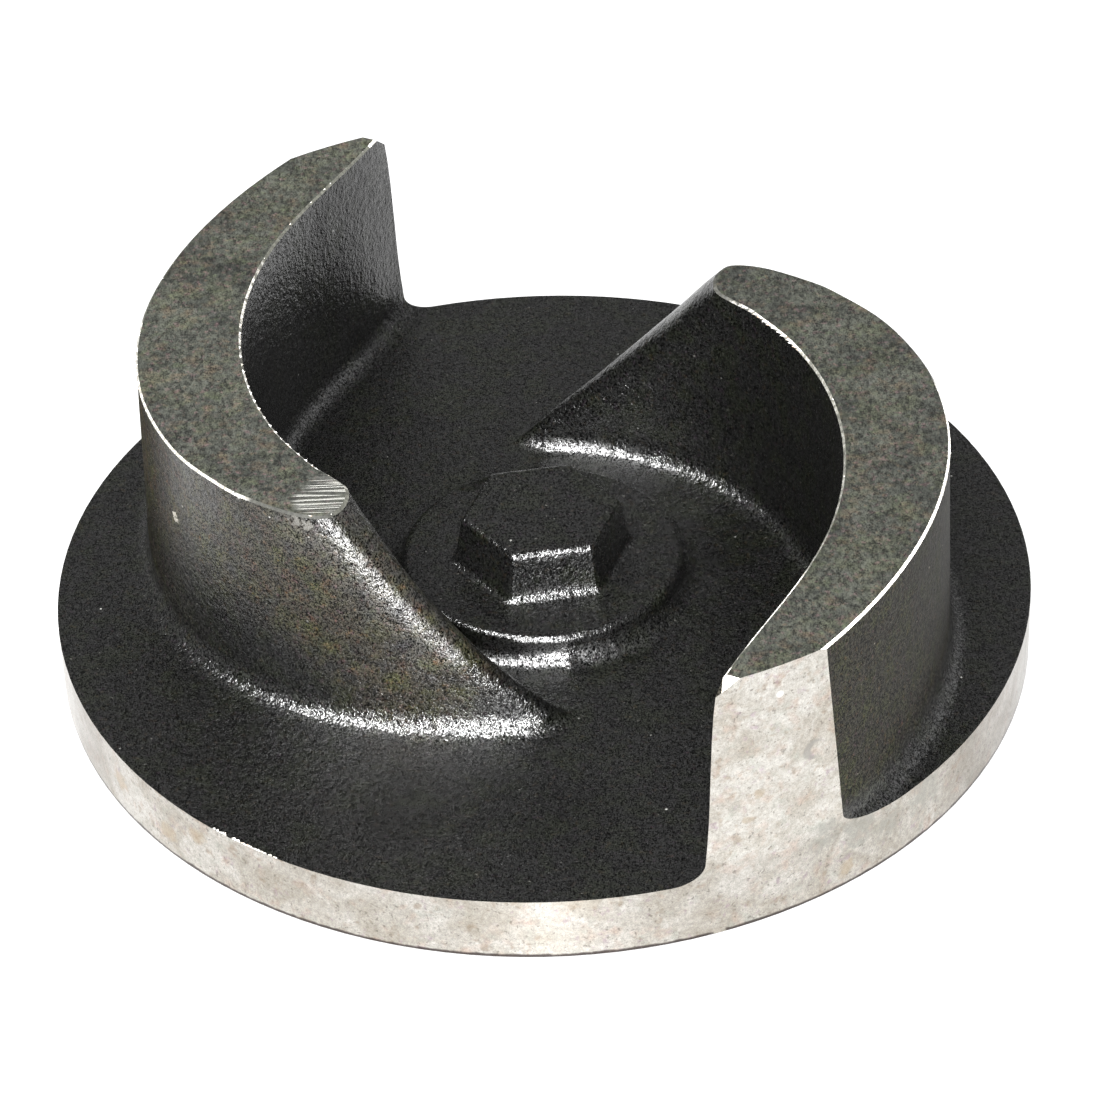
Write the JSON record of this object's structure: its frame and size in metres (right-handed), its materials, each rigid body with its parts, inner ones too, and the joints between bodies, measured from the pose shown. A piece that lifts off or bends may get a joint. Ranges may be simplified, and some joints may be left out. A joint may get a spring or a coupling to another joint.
{
  "type": "pump impeller",
  "caption": "Cast iron semi-open pump impeller: round shroud disc with curved raked vanes, a central wrench hexagon on a pad and a blind threaded bore at the back.",
  "frame": {"origin": "centre of the shaft bore at the machined back face", "axes": "+Z along the shaft axis towards the eye and the hexagon; +X and +Y in the back face, with one vane trailing end at the rim near -65 degrees from +X"},
  "size_m": [0.16, 0.16, 0.0503],
  "materials": {
    "casting": "sand-cast and dark, with the rim, vane ends and vane tops machined bright"
  },
  "bodies": {
    "root": {"impeller": "casting"}
  },
  "joints": []
}
